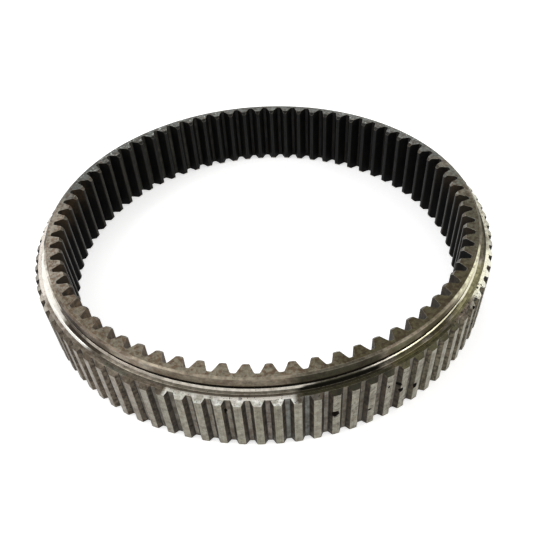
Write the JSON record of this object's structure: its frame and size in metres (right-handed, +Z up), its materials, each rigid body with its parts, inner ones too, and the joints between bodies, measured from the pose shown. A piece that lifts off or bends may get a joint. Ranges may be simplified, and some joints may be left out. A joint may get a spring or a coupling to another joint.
{
  "type": "internal ring gear",
  "caption": "Steel ring gear with involute teeth inside, straight-sided driving teeth round the rim and a plain locating lip above a shoulder.",
  "frame": {"origin": "centre of the ring on its lower face, which it rests on", "axes": "+Z up along the gear axis, from the lower face towards the lip; +X through the middle of an internal tooth"},
  "size_m": [0.24, 0.24, 0.0368],
  "materials": {
    "steel": "used hardened steel, turned faces satin to polished, oil-stained and lightly rusted"
  },
  "bodies": {
    "root": {"ring_gear": "steel"}
  },
  "joints": []
}
